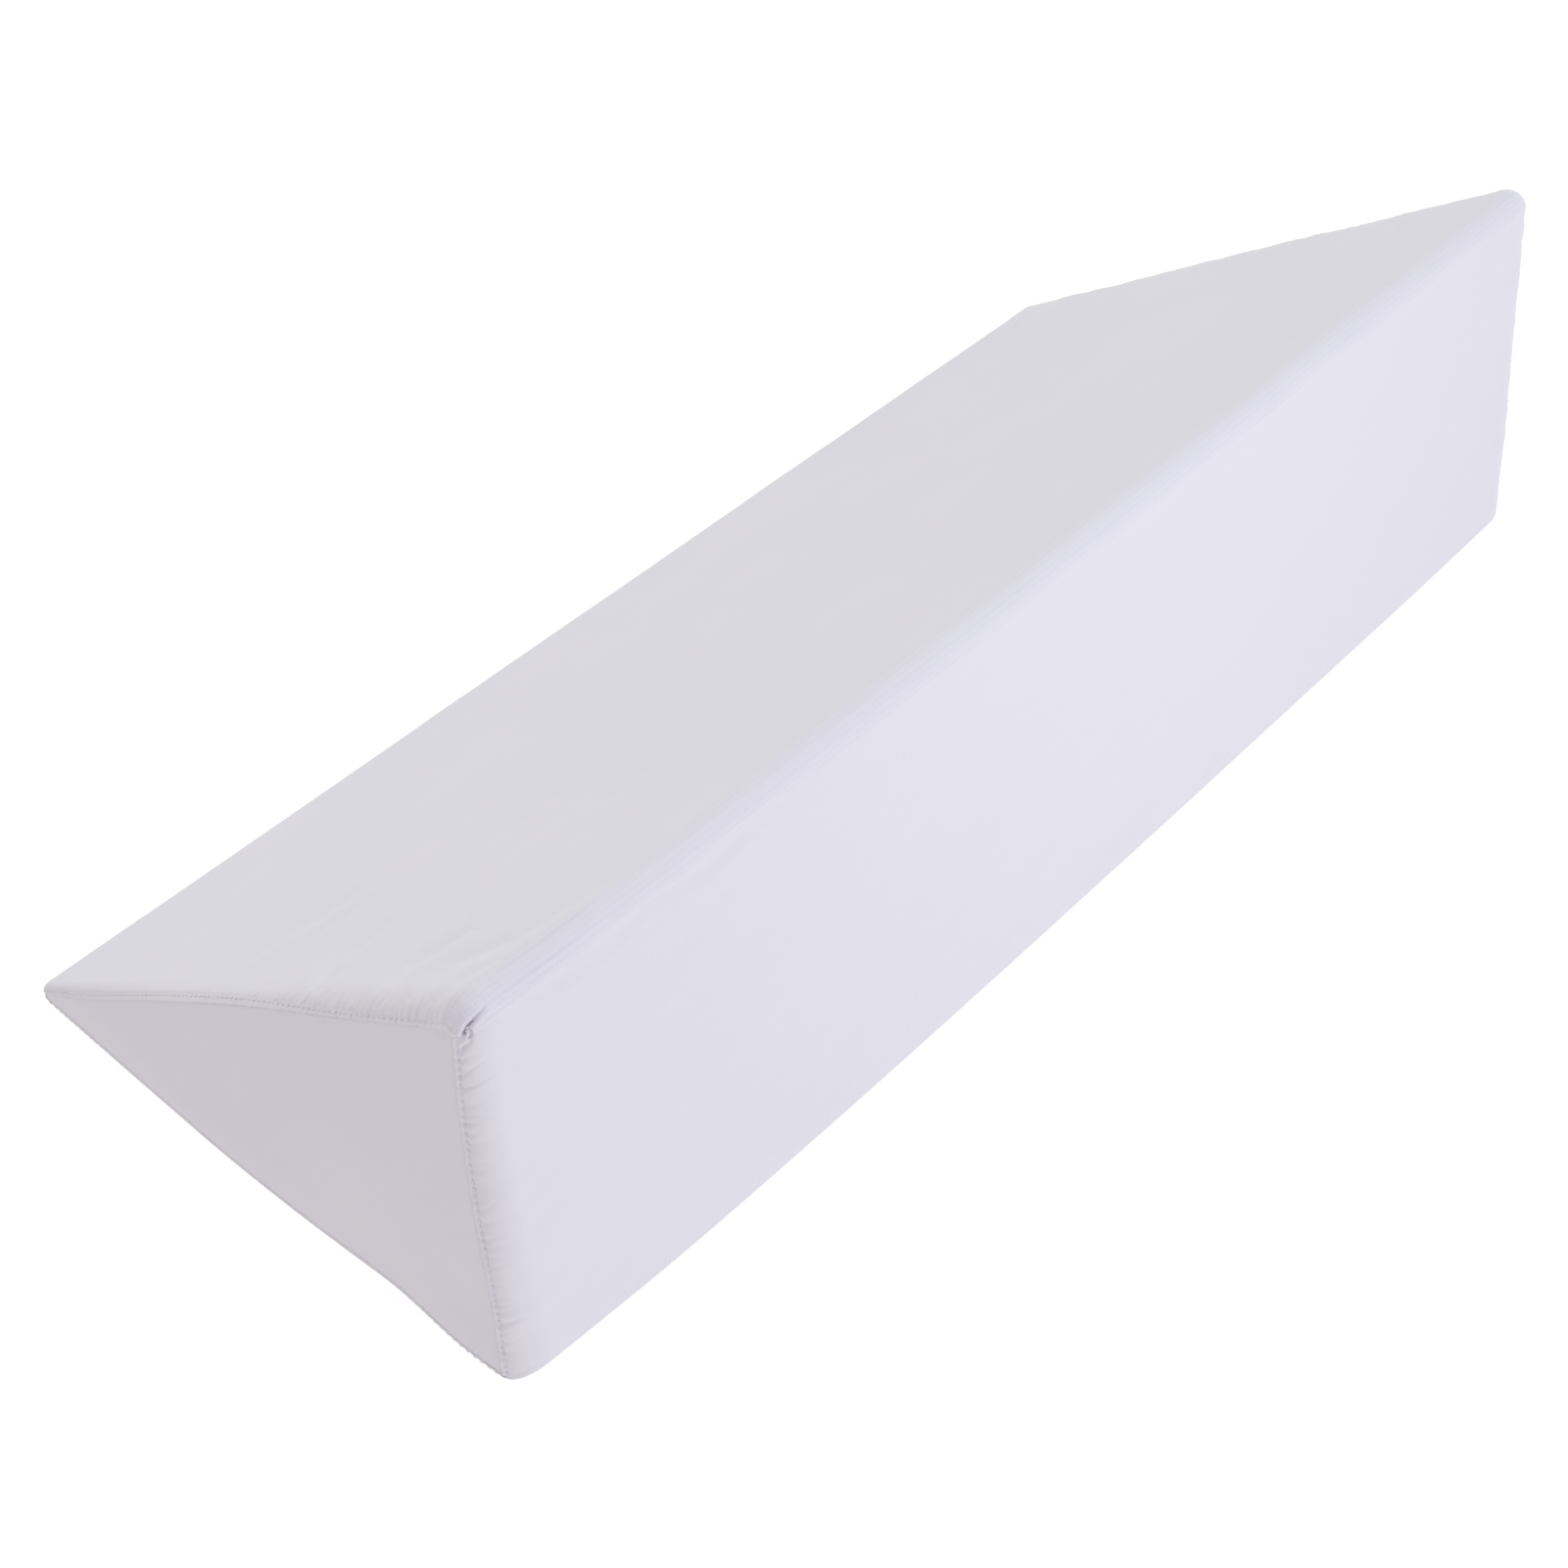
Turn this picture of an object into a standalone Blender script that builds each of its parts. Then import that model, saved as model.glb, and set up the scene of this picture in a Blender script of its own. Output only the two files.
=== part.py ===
"""Leg elevation wedge: a right-angled foam wedge in a sewn white cloth cover, lying on its base.

Metres, +Z up. X runs along the length, +Y points to the thin edge and -Y to the tall front face.
The origin is at the middle of the base. One cloth panel wraps the slope, the front and the base, and a
triangular panel closes each end. The wrap panel turns over each end's rim and meets its panel at a seam.
"""

import math
from collections import namedtuple

import bmesh
import bpy

# Overall sizes of the covered wedge
LENGTH = 0.600
DEPTH = 0.2778
SLOPE_ANGLE = math.radians(31.6)

# How far the front bows out, how far back the ridge stands, and the long edges' radii
FRONT_BOW = 0.0050
RIDGE_LEAN = 0.0041
RIDGE_RADIUS = 0.0075
FOOT_RADIUS = 0.0051
THIN_RADIUS = 0.0038
LEAST_RADIUS = 0.0012

# End panels
END_CROWN = 0.0030
CLOTH = 0.0020
GAP = 0.0005
BASE_EDGE_REACH = 0.030

# How finely the sides, the edges, the length and the end rims are divided
SLOPE_STEPS = 26
RIDGE_STEPS = 10
FRONT_STEPS = 14
FOOT_STEPS = 5
BASE_STEPS = 16
THIN_STEPS = 6
LENGTH_STEPS = 30
RIM_STEPS = 6
PANEL_RINGS = 10

COVER_COLOUR = (0.78, 0.77, 0.81, 1.0)
COVER_ROUGHNESS = 0.85

# The shape along the length, from the near end (-X) to the far end, as shares of each full size:
# front is how far the front bows out, slope how far the slope crowns, ridge how far the ridge sinks
Station = namedtuple("Station", "place front slope ridge")
STATIONS = (
    Station(0.00, 0.00, 0.00, 0.00),
    Station(0.12, 0.74, 0.45, 0.35),
    Station(0.27, 1.00, 0.80, 0.20),
    Station(0.40, 0.98, 1.00, 0.90),
    Station(0.50, 0.89, 1.00, 0.45),
    Station(0.60, 0.78, 0.95, 1.00),
    Station(0.74, 0.56, 0.75, 0.30),
    Station(0.88, 0.35, 0.40, 0.40),
    Station(1.00, 0.00, 0.00, 0.00),
)
SLOPE_CROWN = 0.0020
RIDGE_SINK = 0.0010

# The rim where the wrap panel turns over each end: inset is how far in from the wedge's own edge the seam
# lies, reach is how far along the wedge the turn begins, and turn is its angle at the seam in degrees
RimRow = namedtuple("RimRow", "place inset reach turn")
SLOPE_RIM = (
    RimRow(0.00, 0.0032, 0.0040, 55),
    RimRow(0.15, 0.0036, 0.0062, 52),
    RimRow(0.32, 0.0028, 0.0090, 50),
    RimRow(0.58, 0.0028, 0.0105, 50),
    RimRow(0.78, 0.0054, 0.0110, 54),
    RimRow(1.00, 0.0078, 0.0115, 70),
)
FRONT_RIM = (
    RimRow(0.00, 0.0059, 0.0110, 72),
    RimRow(0.25, 0.0077, 0.0112, 75),
    RimRow(0.50, 0.0080, 0.0115, 75),
    RimRow(0.75, 0.0069, 0.0130, 75),
    RimRow(1.00, 0.0086, 0.0150, 75),
)
BASE_RIM = (
    RimRow(0.00, 0.0011, 0.0060, 90),
    RimRow(0.50, 0.0023, 0.0032, 90),
    RimRow(1.00, 0.0015, 0.0030, 90),
)

# How far the end's bottom edge pushes out or draws in, from the thin edge to the foot
EdgeRow = namedtuple("EdgeRow", "place push")
BOTTOM_EDGE = (
    EdgeRow(0.00, 0.0000),
    EdgeRow(0.20, 0.0014),
    EdgeRow(0.34, 0.0022),
    EdgeRow(0.45, 0.0027),
    EdgeRow(0.58, 0.0022),
    EdgeRow(0.68, 0.0011),
    EdgeRow(0.78, 0.0000),
    EdgeRow(0.90, 0.0013),
    EdgeRow(1.00, 0.0000),
)

# How far the near end leans in over its height; the far end leans in by a share of it
LeanRow = namedtuple("LeanRow", "height lean")
END_LEAN = (
    LeanRow(0.00, 0.0000),
    LeanRow(0.12, 0.0006),
    LeanRow(0.35, 0.0029),
    LeanRow(0.60, 0.0063),
    LeanRow(0.80, 0.0094),
    LeanRow(1.00, 0.0133),
)
FAR_LEAN_SHARE = 0.25

# The sharp corners of the section as (y, z), and the plane of each end seam's foot
FOOT = (-DEPTH / 2 + FRONT_BOW, 0.0)
THIN = (DEPTH / 2 - THIN_RADIUS + THIN_RADIUS / math.tan(SLOPE_ANGLE / 2), 0.0)
RIDGE_BACK = FOOT[0] + RIDGE_LEAN
HEIGHT = (THIN[0] - RIDGE_BACK) * math.tan(SLOPE_ANGLE)
RIDGE = (RIDGE_BACK, HEIGHT)
END_PLANE = LENGTH / 2 - max(row.push for row in BOTTOM_EDGE)

Column = namedtuple("Column", "side place")


def clear_scene():
    for obj in list(bpy.data.objects):
        bpy.data.objects.remove(obj)


def read(rows, place, column):
    """The table's value at a place, which its first column gives, on a smooth curve through its rows."""
    places = [row[0] for row in rows]
    values = [getattr(row, column) for row in rows]
    low = max(i for i in range(len(rows) - 1) if places[i] <= max(place, 0.0))
    high = low + 1
    span = places[high] - places[low]
    share = min(1.0, max(0.0, (place - places[low]) / span))
    before, after = max(low - 1, 0), min(high + 1, len(rows) - 1)
    leave = (values[high] - values[before]) / (places[high] - places[before]) * span
    arrive = (values[after] - values[low]) / (places[after] - places[low]) * span
    square, cube = share**2, share**3
    return (
        values[low] * (2 * cube - 3 * square + 1)
        + leave * (cube - 2 * square + share)
        + values[high] * (3 * square - 2 * cube)
        + arrive * (cube - square)
    )


def columns_round_section():
    """One column for each point round the section: its side, and its place on it from 0 to 1."""
    columns = []
    for side, steps in (
        ("thin", THIN_STEPS),
        ("slope", SLOPE_STEPS),
        ("ridge", RIDGE_STEPS),
        ("front", FRONT_STEPS),
        ("foot", FOOT_STEPS),
        ("base", BASE_STEPS),
    ):
        columns += [Column(side, step / steps) for step in range(steps)]
    return columns


def unit(vector):
    size = math.hypot(*vector)
    return (vector[0] / size, vector[1] / size)


def inward(start, end):
    """The direction square to a side of the section, pointing into the wedge."""
    along = unit((end[0] - start[0], end[1] - start[1]))
    return (-along[1], along[0])


def moved(point, direction, distance):
    return (point[0] + direction[0] * distance, point[1] + direction[1] * distance)


def between(start, end, share):
    return (start[0] + (end[0] - start[0]) * share, start[1] + (end[1] - start[1]) * share)


def meeting_point(start, end, other_start, other_end):
    """Where the line from start to end meets the other line."""
    run = (end[0] - start[0], end[1] - start[1])
    other = (other_end[0] - other_start[0], other_end[1] - other_start[1])
    apart = (other_start[0] - start[0], other_start[1] - start[1])
    along = (apart[0] * other[1] - apart[1] * other[0]) / (run[0] * other[1] - run[1] * other[0])
    return moved(start, run, along)


def rounded_corner(corner, before, after, radius):
    """The arc that rounds a corner: its centre, radius, first angle and turn."""
    back = unit((before[0] - corner[0], before[1] - corner[1]))
    on = unit((after[0] - corner[0], after[1] - corner[1]))
    half = math.acos(back[0] * on[0] + back[1] * on[1]) / 2
    middle = unit((back[0] + on[0], back[1] + on[1]))
    centre = moved(corner, middle, radius / math.sin(half))
    reach = radius / math.tan(half)
    first = moved(corner, back, reach)
    last = moved(corner, on, reach)
    start = math.atan2(first[1] - centre[1], first[0] - centre[0])
    turn = math.atan2(last[1] - centre[1], last[0] - centre[0]) - start
    turn = (turn + math.pi) % (2 * math.pi) - math.pi
    return centre, radius, start, turn


def arc_point(arc, share):
    centre, radius, start, turn = arc
    angle = start + turn * share
    return (centre[0] + radius * math.cos(angle), centre[1] + radius * math.sin(angle))


SLOPE_IN = inward(THIN, RIDGE)
FRONT_IN = inward(RIDGE, FOOT)
BASE_IN = inward(FOOT, THIN)

RIMS = {"slope": SLOPE_RIM, "front": FRONT_RIM, "base": BASE_RIM}
CORNER_RIMS = {
    "thin": (BASE_RIM, SLOPE_RIM),
    "ridge": (SLOPE_RIM, FRONT_RIM),
    "foot": (FRONT_RIM, BASE_RIM),
}


def rim(column, what):
    """The rim's inset, reach or turn at this column."""
    if column.side in RIMS:
        return read(RIMS[column.side], column.place, what)
    before, after = CORNER_RIMS[column.side]
    start, end = getattr(before[-1], what), getattr(after[0], what)
    return start + (end - start) * column.place


def side_line(start, end, inwards, rows, share, extra):
    """One side's line drawn in at both ends by a share of the rim's inset and an extra distance."""
    return (
        moved(start, inwards, rows[0].inset * share + extra),
        moved(end, inwards, rows[-1].inset * share + extra),
    )


def sharp_corners(share, extra=0.0):
    """The section's thin, ridge and foot corners before they are rounded."""
    slope = side_line(THIN, RIDGE, SLOPE_IN, SLOPE_RIM, share, extra)
    front = side_line(RIDGE, FOOT, FRONT_IN, FRONT_RIM, share, extra)
    base = side_line(FOOT, THIN, BASE_IN, BASE_RIM, share, extra)
    return meeting_point(*slope, *base), meeting_point(*slope, *front), meeting_point(*front, *base)


def section(columns, share, extra=0.0):
    """The section's points (y, z) drawn in by a share of the rim's inset and an extra distance."""
    thin, ridge, foot = sharp_corners(share, extra)
    shrink = 1 - 0.7 * share
    arcs = {
        "thin": rounded_corner(thin, foot, ridge, max(THIN_RADIUS * shrink, LEAST_RADIUS) - extra),
        "ridge": rounded_corner(ridge, thin, foot, max(RIDGE_RADIUS * shrink, LEAST_RADIUS) - extra),
        "foot": rounded_corner(foot, ridge, thin, max(FOOT_RADIUS * shrink, LEAST_RADIUS) - extra),
    }
    sides = {
        "slope": ("thin", "ridge", SLOPE_IN),
        "front": ("ridge", "foot", FRONT_IN),
        "base": ("foot", "thin", BASE_IN),
    }
    points = []
    for column in columns:
        if column.side in arcs:
            points.append(arc_point(arcs[column.side], column.place))
            continue
        first, last, inwards = sides[column.side]
        rows = RIMS[column.side]
        point = between(arc_point(arcs[first], 1.0), arc_point(arcs[last], 0.0), column.place)
        straight = rows[0].inset + (rows[-1].inset - rows[0].inset) * column.place
        points.append(moved(point, inwards, (rim(column, "inset") - straight) * share))
    return points


def front_share(y):
    """0 at the thin edge and 1 at the front face."""
    return min(1.0, max(0.0, (THIN[0] - y) / (THIN[0] - FOOT[0])))


def shaped(x, y, z, column):
    """A point of the straight wedge moved to where the filled, covered one lies."""
    place = min(1.0, max(0.0, 0.5 + x / LENGTH))
    height = min(1.0, max(0.0, z / HEIGHT))
    front = read(STATIONS, place, "front")
    lift = read(STATIONS, place, "slope")
    sink = read(STATIONS, place, "ridge")

    bow = FRONT_BOW * front * (1 - 0.65 * height + 0.35 * math.sin(math.pi * height))
    y_new = y - bow * front_share(y) ** 3
    z_new = z
    if column.side == "slope":
        crown = SLOPE_CROWN * lift * math.sin(math.pi * column.place)
        y_new -= SLOPE_IN[0] * crown
        z_new -= SLOPE_IN[1] * crown
    if column.side in ("slope", "ridge", "front"):
        near_ridge = math.exp(-(((HEIGHT - z) / (2.2 * RIDGE_RADIUS)) ** 2))
        z_new -= RIDGE_SINK * sink * near_ridge

    end = math.copysign(1.0, x)
    zone = math.exp(-((END_PLANE - abs(x)) / BASE_EDGE_REACH) ** 2) if abs(x) < END_PLANE else 1.0
    low = math.exp(-((z / BASE_EDGE_REACH) ** 2))
    lean = read(END_LEAN, height, "lean") * (1.0 if x < 0 else FAR_LEAN_SHARE)
    x_new = x * (1 - lean / (LENGTH / 2))
    x_new += end * read(BOTTOM_EDGE, front_share(y), "push") * zone * low
    return (x_new, y_new, z_new)


def rim_back(share, reach, turn):
    """How far back from the seam the rim has come where it is still drawn in by a share of its inset."""
    left = math.acos(1 - share * (1 - math.cos(turn)))
    return reach * (1 - math.sin(left) / math.sin(turn))


def body_rings(columns):
    """Rings of points from the near end's mouth to the far end's, round each rim and along the length."""
    reaches = [rim(column, "reach") for column in columns]
    turns = [math.radians(rim(column, "turn")) for column in columns]
    rings = []
    for step in range(RIM_STEPS):
        share = 1 - math.cos(math.pi / 2 * (1 - step / RIM_STEPS))
        drawn = section(columns, share)
        backs = [rim_back(share, reach, turn) for reach, turn in zip(reaches, turns)]
        rings.append([(-END_PLANE + back, y, z) for back, (y, z) in zip(backs, drawn)])
    full = section(columns, 0.0)
    for step in range(LENGTH_STEPS + 1):
        along = -math.cos(math.pi * step / LENGTH_STEPS)
        along = 0.55 * along + 0.45 * (2 * step / LENGTH_STEPS - 1)
        rings.append([(along * (END_PLANE - reach), y, z) for reach, (y, z) in zip(reaches, full)])
    far = [[(-x, y, z) for x, y, z in ring] for ring in reversed(rings[:RIM_STEPS])]
    return [
        [shaped(*point, column) for point, column in zip(ring, columns)]
        for ring in rings + far
    ]


def crown_at(y, z, mouth):
    """How far an end panel crowns out: nothing at its corners, all of END_CROWN in the middle."""
    (ty, tz), (ry, rz), (fy, fz) = mouth
    whole = (ry - ty) * (fz - tz) - (fy - ty) * (rz - tz)
    ridge = ((y - ty) * (fz - tz) - (fy - ty) * (z - tz)) / whole
    foot = ((ry - ty) * (z - tz) - (y - ty) * (rz - tz)) / whole
    bubble = 27 * max(0.0, ridge) * max(0.0, foot) * max(0.0, 1 - ridge - foot)
    return END_CROWN * bubble


def on_end(y, z, column, end, out):
    """A point on an end, a distance out from its shaped end plane."""
    x, y, z = shaped(end * END_PLANE, y, z, column)
    return (x + end * out, y, z)


def end_grid(columns, end, extra, depth):
    """Rings of points across an end, from its rim to its middle, set in from the end plane by a depth."""
    edge = section(columns, 1.0, extra)
    mouth = sharp_corners(1.0)
    middle = tuple(sum(corner[axis] for corner in mouth) / 3 for axis in (0, 1))
    rings = []
    for ring in range(PANEL_RINGS):
        share = (ring / PANEL_RINGS) ** 1.3
        points = []
        for column, point in zip(columns, edge):
            y, z = between(point, middle, share)
            points.append(on_end(y, z, column, end, crown_at(y, z, mouth) - depth))
        rings.append(points)
    return rings, on_end(*middle, columns[0], end, crown_at(*middle, mouth) - depth)


def closed_object(name, rings, first_centre, last_centre, material):
    """One closed solid: rings joined in order, with a fan to a centre point at each end."""
    form = bmesh.new()
    loops = [[form.verts.new(point) for point in ring] for ring in rings]
    count = len(loops[0])
    for low, high in zip(loops, loops[1:]):
        for i in range(count):
            k = (i + 1) % count
            form.faces.new((low[i], low[k], high[k], high[i]))
    for loop, centre in ((loops[0], first_centre), (loops[-1], last_centre)):
        middle = form.verts.new(centre)
        for i in range(count):
            form.faces.new((middle, loop[i], loop[(i + 1) % count]))
    bmesh.ops.recalc_face_normals(form, faces=form.faces)
    mesh = bpy.data.meshes.new(name)
    form.to_mesh(mesh)
    form.free()
    mesh.shade_smooth()
    mesh.set_sharp_from_angle(angle=math.radians(40))
    mesh.materials.append(material)
    obj = bpy.data.objects.new(name, mesh)
    bpy.context.collection.objects.link(obj)
    return obj


def cover_material():
    material = bpy.data.materials.new("cover_cloth")
    material.use_nodes = True
    shader = material.node_tree.nodes["Principled BSDF"]
    shader.inputs["Base Color"].default_value = COVER_COLOUR
    shader.inputs["Roughness"].default_value = COVER_ROUGHNESS
    shader.inputs["Metallic"].default_value = 0.0
    return material


def wedge_body(columns, material):
    """The filled wedge in its wrap panel, with a shallow seat in each end for the end panel."""
    near_seat, near_centre = end_grid(columns, -1.0, 0.0, CLOTH + GAP)
    far_seat, far_centre = end_grid(columns, 1.0, 0.0, CLOTH + GAP)
    rings = list(reversed(near_seat)) + body_rings(columns) + far_seat
    return closed_object("wedge_body", rings, near_centre, far_centre, material)


def end_panel(name, columns, end, material):
    """A triangular end panel: one cloth thickness, crowned, lying in its seat."""
    outer, outer_centre = end_grid(columns, end, GAP, 0.0)
    inner, inner_centre = end_grid(columns, end, GAP, CLOTH)
    rings = list(reversed(outer)) + inner
    return closed_object(name, rings, outer_centre, inner_centre, material)


def main():
    clear_scene()
    material = cover_material()
    columns = columns_round_section()
    wedge_body(columns, material)
    end_panel("end_panel_near", columns, -1.0, material)
    end_panel("end_panel_far", columns, 1.0, material)


main()
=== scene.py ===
"""The leg elevation wedge as it looks: its sewn cover, end seams, stitches, creases, corner tuck and cloth.

Metres, +Z up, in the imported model's frame: X along the length, +Y to the thin edge, -Y to the tall front.
"""

import math
from collections import namedtuple

import bmesh
import bpy
import numpy as np
from mathutils import Matrix, Vector


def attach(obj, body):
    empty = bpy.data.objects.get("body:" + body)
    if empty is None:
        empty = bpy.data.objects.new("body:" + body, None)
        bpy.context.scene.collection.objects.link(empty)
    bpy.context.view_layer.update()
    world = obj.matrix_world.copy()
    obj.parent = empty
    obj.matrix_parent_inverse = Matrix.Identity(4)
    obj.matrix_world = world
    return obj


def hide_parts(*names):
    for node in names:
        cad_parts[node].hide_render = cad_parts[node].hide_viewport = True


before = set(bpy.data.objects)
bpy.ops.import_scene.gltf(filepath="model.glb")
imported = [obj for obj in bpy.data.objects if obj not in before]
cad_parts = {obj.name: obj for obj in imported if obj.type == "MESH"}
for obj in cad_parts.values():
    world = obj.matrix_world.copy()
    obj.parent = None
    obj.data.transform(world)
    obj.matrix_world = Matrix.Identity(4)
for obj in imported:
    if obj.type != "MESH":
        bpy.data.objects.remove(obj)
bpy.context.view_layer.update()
MM = 0.001

# Overall sizes of the covered wedge, as in the model
LENGTH = 0.600
DEPTH = 0.2778
SLOPE_ANGLE = math.radians(31.6)
FRONT_BOW = 0.0050
RIDGE_LEAN = 0.0041
RIDGE_RADIUS = 0.0075
FOOT_RADIUS = 0.0051
THIN_RADIUS = 0.0038
LEAST_RADIUS = 0.0012
END_CROWN = 0.0030
BASE_EDGE_REACH = 0.030
SLOPE_CROWN = 0.0020
RIDGE_SINK = 0.0010

# The shape along the length, from the near end (-X) to the far end, as shares of each full size
Station = namedtuple("Station", "place front slope ridge")
STATIONS = (
    Station(0.00, 0.00, 0.00, 0.00),
    Station(0.12, 0.74, 0.45, 0.35),
    Station(0.27, 1.00, 0.80, 0.20),
    Station(0.40, 0.98, 1.00, 0.90),
    Station(0.50, 0.89, 1.00, 0.45),
    Station(0.60, 0.78, 0.95, 1.00),
    Station(0.74, 0.56, 0.75, 0.30),
    Station(0.88, 0.35, 0.40, 0.40),
    Station(1.00, 0.00, 0.00, 0.00),
)

# The rim where the wrap panel turns over each end: how far in the seam lies, and where the turn begins
RimRow = namedtuple("RimRow", "place inset reach turn")
SLOPE_RIM = (
    RimRow(0.00, 0.0032, 0.0040, 55),
    RimRow(0.15, 0.0036, 0.0062, 52),
    RimRow(0.32, 0.0028, 0.0090, 50),
    RimRow(0.58, 0.0028, 0.0105, 50),
    RimRow(0.78, 0.0054, 0.0110, 54),
    RimRow(1.00, 0.0078, 0.0115, 70),
)
FRONT_RIM = (
    RimRow(0.00, 0.0059, 0.0110, 72),
    RimRow(0.25, 0.0077, 0.0112, 75),
    RimRow(0.50, 0.0080, 0.0115, 75),
    RimRow(0.75, 0.0069, 0.0130, 75),
    RimRow(1.00, 0.0086, 0.0150, 75),
)
BASE_RIM = (
    RimRow(0.00, 0.0011, 0.0060, 90),
    RimRow(0.50, 0.0023, 0.0032, 90),
    RimRow(1.00, 0.0015, 0.0030, 90),
)

# How far each end's bottom edge pushes out or draws in, from the thin edge to the foot
EdgeRow = namedtuple("EdgeRow", "place push")
BOTTOM_EDGE = (
    EdgeRow(0.00, 0.0000),
    EdgeRow(0.20, 0.0014),
    EdgeRow(0.34, 0.0022),
    EdgeRow(0.45, 0.0027),
    EdgeRow(0.58, 0.0022),
    EdgeRow(0.68, 0.0011),
    EdgeRow(0.78, 0.0000),
    EdgeRow(0.90, 0.0013),
    EdgeRow(1.00, 0.0000),
)

# How far the near end leans in over its height; the far end leans in by a share of it
LeanRow = namedtuple("LeanRow", "height lean")
END_LEAN = (
    LeanRow(0.00, 0.0000),
    LeanRow(0.12, 0.0006),
    LeanRow(0.35, 0.0029),
    LeanRow(0.60, 0.0063),
    LeanRow(0.80, 0.0094),
    LeanRow(1.00, 0.0133),
)
FAR_LEAN_SHARE = 0.25

# The seam's own profile across it, from the wrap panel's side to the end panel's: a stitched groove, then
# the wrap panel's folded edge
SeamPoint = namedtuple("SeamPoint", "across out")
SEAM_PROFILE = (
    SeamPoint(-2.00 * MM, 0.00 * MM),
    SeamPoint(-1.70 * MM, -0.03 * MM),
    SeamPoint(-1.45 * MM, -0.12 * MM),
    SeamPoint(-1.15 * MM, -0.13 * MM),
    SeamPoint(-0.85 * MM, -0.02 * MM),
    SeamPoint(-0.60 * MM, 0.22 * MM),
    SeamPoint(-0.30 * MM, 0.38 * MM),
    SeamPoint(0.00 * MM, 0.42 * MM),
    SeamPoint(0.30 * MM, 0.30 * MM),
    SeamPoint(0.46 * MM, 0.10 * MM),
    SeamPoint(0.47 * MM, 0.00 * MM),
    SeamPoint(0.40 * MM, -0.02 * MM),
    SeamPoint(0.20 * MM, -0.02 * MM),
    SeamPoint(0.20 * MM, -0.95 * MM),
)
# How many of the last of these points lie under the fold, where the relief leaves them as they are
SEAM_WALL = 4
SEAM_FLAT = 0.30
STITCH_ACROSS = -1.25 * MM
STITCH_PITCH = 3.4 * MM
STITCH_LENGTH = 2.3 * MM
STITCH_RADIUS = 0.24 * MM
PANEL_EDGE_ACROSS = 0.24 * MM
PANEL_EDGE_OUT = -0.04 * MM
PANEL_THICKNESS = 0.7 * MM
BACKING_ACROSS = 3.0 * MM
BACKING_OUT = -1.6 * MM
# The hidden backs' rings, as shares of the way to the end's middle
BACKING_SHARES = (0.0, 0.15, 0.3, 0.45, 0.6, 0.75, 0.9)

# The camera, solved from the photograph's outline and seams, with its principal point in picture units
PICTURE = 1601
CAMERA_EYE = (-0.55724, -0.57, 0.71323)
CAMERA_FORWARD = (0.52604, 0.54771, -0.65061)
CAMERA_DOWN = (-0.51417, -0.40455, -0.75629)
CAMERA_LENS = 59.349
SENSOR = 36.0
PRINCIPAL = (830.0, 700.0)

# Faint creases in the cover, in picture units: depth and width in metres across each line
Crease = namedtuple("Crease", "depth width line")
CREASES = (
    Crease(0.76 * MM, 1.7 * MM, ((262, 976), (300, 950), (340, 926), (383, 901))),
    Crease(0.50 * MM, 1.5 * MM, ((305, 965), (340, 942), (385, 915), (414, 895))),
    Crease(0.81 * MM, 1.7 * MM, ((322, 1007), (346, 979), (403, 936), (435, 905))),
    Crease(0.81 * MM, 1.6 * MM, ((387, 1009), (411, 988), (459, 960), (486, 946))),
    Crease(0.59 * MM, 1.5 * MM, ((396, 1018), (426, 983), (481, 944))),
    Crease(0.81 * MM, 1.7 * MM, ((420, 1018), (463, 983), (524, 959), (581, 922), (648, 883))),
    Crease(0.59 * MM, 1.5 * MM, ((444, 1022), (481, 992), (533, 964))),
    Crease(0.68 * MM, 2.0 * MM, ((498, 860), (533, 834), (581, 799), (611, 764))),
    Crease(0.54 * MM, 2.0 * MM, ((600, 826), (637, 803), (668, 772))),
    Crease(0.90 * MM, 2.0 * MM, ((560, 1006), (611, 975), (655, 931), (703, 903), (729, 879), (798, 820))),
    Crease(0.59 * MM, 1.8 * MM, ((518, 1034), (568, 1009), (596, 994))),
    Crease(0.54 * MM, 1.8 * MM, ((640, 960), (690, 922), (740, 893))),
    Crease(0.50 * MM, 2.6 * MM, ((690, 850), (742, 800), (790, 770))),
    Crease(0.54 * MM, 2.6 * MM, ((1172, 463), (1215, 436), (1262, 405), (1330, 352))),
    Crease(0.45 * MM, 2.4 * MM, ((1230, 408), (1280, 372), (1330, 336))),
)

# The tuck at the near top corner, in picture units: the open fold, the loop at its foot, the fold below
TUCK_FOLD = (
    (471.0, 1060.5), (472.0, 1053.0), (475.3, 1047.0),
    (483.3, 1039.0), (490.2, 1032.0), (495.5, 1024.5),
)
TUCK_LOOP = ((476.5, 1050.5), (479.4, 1051.6), (481.2, 1055.6), (480.0, 1059.8), (476.6, 1062.0))
TUCK_UNDER = ((483.0, 1060.5), (479.5, 1065.5), (474.0, 1069.0), (469.0, 1070.5))

COVER_COLOUR = (0.790, 0.765, 0.810)

# The studio's soft light: its level, what it gains towards the low left and towards the back, and its least
SKY = (0.980, 1.012, 1.049)
SKY_LEFT = (-1.22, -1.43, -1.44)
SKY_BACK = (0.052, 0.044, -0.037)
SKY_LEAST = (0.02, 0.02, 0.02)
FRONT_LIGHT_AT = (0.06, -0.50, 0.26)
FRONT_LIGHT_AIM = (0.10, -DEPTH / 2, 0.0856)
FRONT_LIGHT_POWER = 0.215
FRONT_LIGHT_SIZE = 0.30
FRONT_LIGHT_COLOUR = (0.89, 0.97, 1.0)
FLOOR_REACH = 60
FLOOR_DROP = 0.0004
FLOOR_GREY = 0.20
FLOOR_GLOW = 0.86


# ---------- shape ----------


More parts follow.
